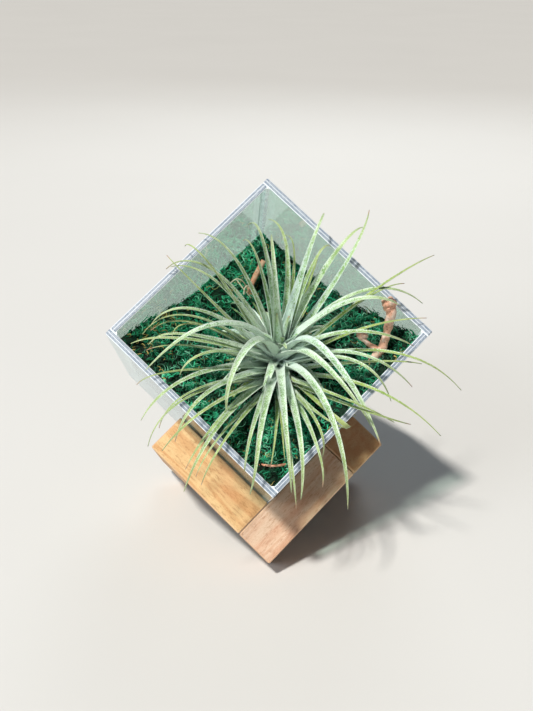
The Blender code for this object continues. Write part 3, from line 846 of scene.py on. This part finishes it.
def leaf_growth():
    """Tree that lays a closed channelled blade along every guide line."""
    growth = Growth("leaf_blades", {
        "Sides": 12, "Steps": 40, "Base Flare": 0.6, "Flare Length": 0.3,
        "Channel": 1.0, "Tip Channel": 0.5, "Thickness": 0.95, "Tip Thickness": 0.35,
        "Edge Thinning": 0.72})
    chains = growth.node("GeometryNodeMeshToCurve", {}, {"Mesh": growth.size("Geometry")})
    guides = growth.node("GeometryNodeCurveSplineType", {"spline_type": "CATMULL_ROM"}, {"Curve": chains})
    count = growth.node("GeometryNodeAttributeDomainSize", {"component": "CURVE"}, {
        "Geometry": guides}).out("Spline Count")
    blank = growth.node("GeometryNodeMeshCylinder", {"fill_type": "NGON"}, {
        "Vertices": growth.size("Sides"), "Side Segments": growth.size("Steps"), "Radius": 1.0,
        "Depth": 1.0})
    row = growth.node("GeometryNodeMeshLine", {}, {"Count": count, "Offset": (0.0, 0.0, 0.0)})
    blanks = growth.node("GeometryNodeInstanceOnPoints", {}, {"Points": row, "Instance": blank})
    numbered = growth.store(blanks, "leaf", growth.node("GeometryNodeInputIndex"), "INT", "INSTANCE")
    real = growth.node("GeometryNodeRealizeInstances", {}, {"Geometry": numbered})
    parts = growth.node("ShaderNodeSeparateXYZ", {}, {"Vector": growth.position})
    across = parts.out("X")
    above = parts.out("Y")
    along = parts.out("Z") + 0.5
    number = growth.read("leaf", "INT")
    facts = {key: growth.sample(guides, growth.read(key), along, number)
             for key in ("width", "tip", "taper", "age", "shade")}
    line = growth.sample(guides, growth.read("face", "FLOAT_VECTOR"), along, number, "FLOAT_VECTOR")
    tangent = line.out("Tangent")
    side = line.cross(tangent).unit()
    face = tangent.cross(side)
    body = (facts["width"] - facts["tip"]) * (1.0 - along) ** facts["taper"]
    flare = (1.0 - along / growth.size("Flare Length")).most(0.0) ** 2.0 * growth.size("Base Flare")
    half = (body * (1.0 + flare) + facts["tip"]) * (0.5 * MM)
    channel = growth.size("Channel") + (growth.size("Tip Channel") - growth.size("Channel")) * along
    thickness = growth.size("Thickness") + (growth.size("Tip Thickness") - growth.size("Thickness")) * along
    swell = 1.0 - across * across * growth.size("Edge Thinning")
    rise = across * across * half * channel + above * thickness * swell * (0.5 * MM)
    spot = line.out("Position") + side * (across * half) + face * rise
    kept = growth.store(real, "along", along)
    kept = growth.store(kept, "across", across)
    kept = growth.store(kept, "upper", above * 0.5 + 0.5)
    kept = growth.store(kept, "age", facts["age"])
    kept = growth.store(kept, "shade", facts["shade"])
    bent = growth.node("GeometryNodeSetPosition", {}, {"Geometry": kept, "Position": spot})
    growth.finish(bent)
    return growth


def moss_growth():
    """Tree that covers the moss bed's chosen side with tufts of curly strands."""
    growth = Growth("moss_strands", {
        "Density": 590000.0, "Tuft Scale": 170.0, "Length": 0.0052, "Radius": 0.00036,
        "Curl": 0.0013, "Turns": 1.25, "Lift": 0.8, "Least Rise": 0.15, "Most Rise": 1.01,
        "Wander": 0.002, "Sides": 3, "Steps": 9, "Seed": 1})
    seed = growth.size("Seed")
    normal = growth.node("GeometryNodeInputNormal")
    rise = normal.dot(tuple(AXIS_C))
    above = growth.node("FunctionNodeCompare", {"operation": "GREATER_THAN"}, {
        0: rise, 1: growth.size("Least Rise")})
    below = growth.node("FunctionNodeCompare", {"operation": "LESS_THAN"}, {
        0: rise, 1: growth.size("Most Rise")})
    chosen = growth.node("FunctionNodeBooleanMath", {"operation": "AND"}, {0: above, 1: below})
    tufts = growth.ease(growth.noise(growth.position, growth.size("Tuft Scale"), detail=1.0), 0.4, 0.58)
    spots = growth.node("GeometryNodeDistributePointsOnFaces", {}, {
        "Mesh": growth.size("Geometry"), "Selection": chosen,
        "Density": growth.size("Density"), "Seed": seed})
    up = spots.out("Normal")
    pick = growth.random(0.0, 1.0, seed + 6)
    gap = growth.node("FunctionNodeCompare", {"operation": "GREATER_THAN"}, {0: pick, 1: tufts + 0.04})
    spots = growth.node("GeometryNodeDeleteGeometry", {}, {"Geometry": spots, "Selection": gap})
    loose = growth.random((-1.0, -1.0, -1.0), (1.0, 1.0, 1.0), seed + 1, "FLOAT_VECTOR")
    lying = (loose - up * loose.dot(up)).unit()
    heading = lying + up * (growth.size("Lift") * growth.random(0.1, 1.0, seed + 2))
    kept = growth.store(spots, "heading", heading.unit(), "FLOAT_VECTOR")
    kept = growth.store(kept, "sideways", up.cross(lying), "FLOAT_VECTOR")
    kept = growth.store(kept, "outward", up, "FLOAT_VECTOR")
    kept = growth.store(kept, "phase", growth.random(0.0, math.tau, seed + 3))
    reach = growth.random(0.5, 1.3, seed + 4) * growth.size("Length") * (0.55 + tufts * 0.6)
    kept = growth.store(kept, "reach", reach)
    kept = growth.store(kept, "odd", growth.random(0.0, 1.0, seed + 7))
    # Each strand's tone: partly random, and higher on full tufts than where they thin out, which paints light
    # on the tufts and shade in the gaps
    kept = growth.store(kept, "shade", growth.random(0.0, 0.6, seed + 5) * (0.3 + tufts * 0.7) + tufts * 0.45)
    line = growth.node("GeometryNodeCurvePrimitiveLine", {}, {"End": (0.0, 0.0, 1.0)})
    line = growth.node("GeometryNodeResampleCurve", {}, {"Curve": line, "Count": growth.size("Steps")})
    strands = growth.node("GeometryNodeInstanceOnPoints", {}, {"Points": kept, "Instance": line})
    real = growth.node("GeometryNodeRealizeInstances", {}, {"Geometry": strands})
    along = growth.node("GeometryNodeSplineParameter").out("Factor")
    root = growth.position - growth.vector(0.0, 0.0, along)
    turn = along * growth.size("Turns") * math.tau + growth.read("phase")
    curl = growth.size("Curl") * along ** 0.5
    waver = growth.maths_of("SINE", turn) * curl
    bob = growth.maths_of("COSINE", turn) * curl * 0.9
    spot = (root + growth.read("heading", "FLOAT_VECTOR") * (along * growth.read("reach"))
            + growth.read("sideways", "FLOAT_VECTOR") * waver
            + growth.read("outward", "FLOAT_VECTOR") * bob)
    drift = growth.node("ShaderNodeTexNoise", {}, {"Vector": spot, "Scale": 380.0, "Detail": 1.0})
    spot = spot + (drift.out("Color") - (0.5, 0.5, 0.5)) * (growth.size("Wander") * along)
    bent = growth.node("GeometryNodeSetPosition", {}, {
        "Geometry": real, "Position": growth.kept_inside(spot, MM * STRAND_INSET)})
    bent = growth.store(bent, "along", along)
    ring = growth.node("GeometryNodeCurvePrimitiveCircle", {}, {
        "Resolution": growth.size("Sides"), "Radius": 1.0})
    tubes = growth.node("GeometryNodeCurveToMesh", {}, {
        "Curve": bent, "Profile Curve": ring, "Fill Caps": True,
        "Scale": growth.size("Radius") * (1.15 - along * 0.75)})
    growth.finish(tubes)
    return growth


def twig_growth():
    """Tree that turns lines with a radius into knobbly bark."""
    growth = Growth("bark_tubes", {
        "Step": 0.0006, "Sides": 12, "Swell": 1.0, "Knobs": 0.35, "Knob Scale": 260.0, "Ridges": 0.12,
        "Ridge Scale": 900.0})
    chains = growth.node("GeometryNodeMeshToCurve", {}, {"Mesh": growth.size("Geometry")})
    smooth = growth.node("GeometryNodeCurveSplineType", {"spline_type": "CATMULL_ROM"}, {"Curve": chains})
    fine = growth.node("GeometryNodeResampleCurve", {"mode": "LENGTH"}, {
        "Curve": smooth, "Length": growth.size("Step")})
    ring = growth.node("GeometryNodeCurvePrimitiveCircle", {}, {
        "Resolution": growth.size("Sides"), "Radius": 1.0})
    tubes = growth.node("GeometryNodeCurveToMesh", {}, {
        "Curve": fine, "Profile Curve": ring, "Fill Caps": True,
        "Scale": growth.read("radius") * growth.size("Swell")})
    knobs = growth.noise(growth.position, scale=growth.size("Knob Scale"), detail=1.0) - 0.5
    ridges = growth.noise(growth.position, scale=growth.size("Ridge Scale"), detail=2.0) - 0.5
    swell = (knobs * growth.size("Knobs") + ridges * growth.size("Ridges")) * 0.002
    rough = growth.node("GeometryNodeSetPosition", {}, {
        "Geometry": tubes, "Offset": growth.node("GeometryNodeInputNormal") * swell})
    growth.finish(rough)
    return growth


def twig_line(points):
    return [point[:3] for point in points], {"radius": [point[3] * MM for point in points]}


def add_plant():
    leaves = leaf_growth().grow("air_plant_leaves", leaf_guides(), leaf_skin())
    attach(leaves, "root")
    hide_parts("air_plant")


def add_moss():
    """Strands over the bed's lumpy top, and strands pressed flat against the clear walls."""
    growth = moss_growth()
    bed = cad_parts["moss_bed"]
    deep = moss_skin("moss_deep", tint(0, 8, 5), tint(5, 108, 68), tint(56, 196, 144))
    light = moss_skin("moss_light", tint(1, 20, 12), tint(24, 150, 102), tint(150, 236, 196))
    plans = {
        "moss_strands_deep": (deep, {"Seed": 3}),
        "moss_strands_light": (light, {"Seed": 21, "Density": 420000.0, "Radius": 0.00026}),
        "moss_strands_pressed": (deep, {
            "Seed": 40, "Density": 190000.0, "Lift": 0.1, "Curl": 0.0009, "Least_Rise": -1.01,
            "Most_Rise": 0.15, "Radius": 0.00028}),
    }
    for name, (skin, changes) in plans.items():
        strands = growth.grow(name, bed.data.copy(), skin, **changes)
        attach(strands, "root")
    # The bed's near-black surface stands for the shade between the strands
    bed.data.materials.clear()
    bed.data.materials.append(moss_ground())


def add_twigs():
    growth = twig_growth()
    red = bark("bark_red", tint(140, 80, 62), tint(222, 150, 120), tint(240, 200, 172))
    brown = bark("bark_brown", tint(136, 84, 66), tint(226, 172, 144), tint(248, 224, 206))
    knobs = [((a, b, c - r, r * 0.4), (a, b, c, r), (a, b, c + r, r * 0.4)) for a, b, c, r in ROOT_KNOBS]
    plans = {
        "twig_upright": ([UPRIGHT_TWIG], red, "twig", {"Swell": 1.15}),
        "twig_root": ([ROOT_TWIG, ROOT_BRANCH, *knobs], brown, "root", {"Knobs": 0.9}),
        "twig_curved": ([CURVED_STEM], red, "twig", {"Knobs": 0.1, "Ridges": 0.05}),
    }
    for node, (lines, skin, slot, changes) in plans.items():
        guides = guide_mesh(node + "_guides", [twig_line(points) for points in lines])
        twig = growth.grow(node + "_bark", guides, skin, **changes)
        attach(twig, "root")
        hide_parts(node)
    add_sprigs(growth)


def add_sprigs(growth):
    """Thin pale dry shoots beside the upright twig."""
    lines = []
    for spots in PALE_SPRIGS:
        places = arc_points(*[on_sight_line(*spot) for spot in spots], 6)
        lines.append((places, {"radius": SPRIG_RADIUS * MM}))
    straw = bark("dry_straw", tint(200, 170, 140), tint(234, 212, 186), tint(250, 240, 226))
    sprigs = growth.grow("dry_sprigs", guide_mesh("sprig_guides", lines), straw,
                         Knobs=0.12, Ridges=0.05, Sides=8)
    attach(sprigs, "root")


def prism(edges, profile, start, end):
    """Vertices and faces of a closed prism: a profile in two box axes, run along the third."""
    first, second, third = edges
    rings = []
    for reach in (start, end):
        for x, y in profile:
            spot = Vector()
            spot[first], spot[second], spot[third] = x, y, reach
            rings.append(place(spot))
    count = len(profile)
    faces = [tuple(range(count)), tuple(range(2 * count - 1, count - 1, -1))]
    faces += [(i, i + count, (i + 1) % count + count, (i + 1) % count) for i in range(count)]
    return rings, faces


def glue_skin():
    """Dried clear glue: whitish and cloudy, with a painted glow."""
    surface = Surface("glue_white")
    clouds = surface.noise(surface.point, scale=420.0, detail=3.0)
    return surface.finish(surface.principled({
        "Base Color": surface.blend(clouds, tint(214, 222, 224), tint(246, 249, 250)),
        "Roughness": 0.25 + clouds * 0.3, "Alpha": 0.6 + surface.ease(clouds, 0.4, 0.65) * 0.4,
        # The glue emits a faint light: a painted glow
        "Emission Color": (0.86, 0.93, 0.95), "Emission Strength": GLUE_GLOW,
        "Normal": surface.bump(clouds, 0.4, 0.0002)}))


def add_glue():
    """Glue in the four joints that run from the opening to the back, with a small fillet inside."""
    far = SEAT_GAP + BOX_SIDE
    inner = far - SHEET
    profile = [(inner - GLUE_FILLET, inner), (inner, inner - GLUE_FILLET), (inner, far - GLUE_INSET),
               (inner - SHEET_GAP, far - GLUE_INSET), (inner - SHEET_GAP, inner)]
    whole = far + SEAT_GAP
    points = []
    faces = []
    for flip_a in (False, True):
        for flip_b in (False, True):
            corner = [(whole - a if flip_a else a, whole - b if flip_b else b) for a, b in profile]
            rings, sides = prism((0, 1, 2), corner, SEAT_GAP + SHEET + SHEET_GAP, far - GLUE_INSET)
            faces += [tuple(len(points) + i for i in side) for side in sides]
            points += rings
    mesh = bpy.data.meshes.new("glue_seams")
    mesh.from_pydata(points, [], faces)
    face_outward(mesh)
    mesh.materials.append(glue_skin())
    glue = bpy.data.objects.new("glue_seams", mesh)
    bpy.context.scene.collection.objects.link(glue)
    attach(glue, "root")


def face_outward(mesh):
    """Turn a closed mesh's faces outwards."""
    shell = bmesh.new()
    shell.from_mesh(mesh)
    bmesh.ops.recalc_face_normals(shell, faces=shell.faces)
    shell.to_mesh(mesh)
    shell.free()


def dress_box_and_bars():
    for name in SHEETS:
        dress(name, acrylic(name))
    for name, (warmth, lightness) in BARS.items():
        dress(name, wood(name, warmth, lightness))


def dress(name, material):
    """Give a node of the frame a better material."""
    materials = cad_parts[name].data.materials
    materials.clear()
    materials.append(material)


def add_floor():
    mesh = bpy.data.meshes.new("floor")
    corners = [(FLOOR_RADIUS * math.cos(turn), FLOOR_RADIUS * math.sin(turn), 0.0)
               for turn in (math.tau * i / 64 for i in range(64))]
    mesh.from_pydata(corners, [], [range(64)])
    surface = Surface("floor_paint")
    clouds = surface.noise(surface.point, scale=3.0, detail=3.0)
    colour = surface.blend(clouds, tint(207, 206, 203), tint(212, 211, 208))
    mesh.materials.append(surface.finish(surface.principled({"Base Color": colour, "Roughness": 0.7})))
    floor = bpy.data.objects.new("floor", mesh)
    bpy.context.scene.collection.objects.link(floor)


def add_lights():
    """A soft-edged key from the upper left and front, two faint lamps and a pale sky."""
    key = bpy.data.lights.new("key", "SUN")
    key.energy = KEY_STRENGTH
    key.angle = KEY_SOFTNESS
    key.color = KEY_COLOUR
    add_lamp(key, Vector((0.0, 0.0, 1.0)), TO_MODEL @ Vector(KEY_TRAVEL))
    for name, facts in LAMPS.items():
        lamp = bpy.data.lights.new(name, "AREA")
        lamp.shape = "DISK"
        lamp.size = facts["size"]
        lamp.energy = facts["watts"]
        lamp.color = facts["colour"]
        travel = Vector((0.0, 0.0, MIDDLE_HEIGHT)) - Vector(facts["place"])
        add_lamp(lamp, Vector(facts["place"]), travel).visible_glossy = False
    world = bpy.data.worlds.new("studio")
    world.use_nodes = True
    sky = world.node_tree.nodes["Background"]
    sky.inputs["Color"].default_value = (*SKY[0], 1.0)
    sky.inputs["Strength"].default_value = SKY[1]
    bpy.context.scene.world = world
    bpy.context.scene.view_settings.view_transform = "Standard"


def add_lamp(data, location, travel):
    lamp = bpy.data.objects.new(data.name, data)
    lamp.location = location
    lamp.rotation_euler = travel.to_track_quat("-Z", "Y").to_euler()
    bpy.context.scene.collection.objects.link(lamp)
    return lamp


def add_camera():
    """The camera where the photograph was taken from."""
    data = bpy.data.cameras.new("camera")
    data.lens = LENS
    data.clip_start = 0.01
    camera = bpy.data.objects.new("camera", data)
    right = EYE_FORWARD.cross(EYE_UP)
    turn = Matrix((right, EYE_UP, -EYE_FORWARD)).transposed().to_4x4()
    turn.translation = START + EYE_PLACE * MM
    camera.matrix_world = turn
    bpy.context.scene.collection.objects.link(camera)
    bpy.context.scene.camera = camera


add_camera()
add_lights()
add_floor()
dress_box_and_bars()
add_glue()
add_plant()
add_moss()
add_twigs()
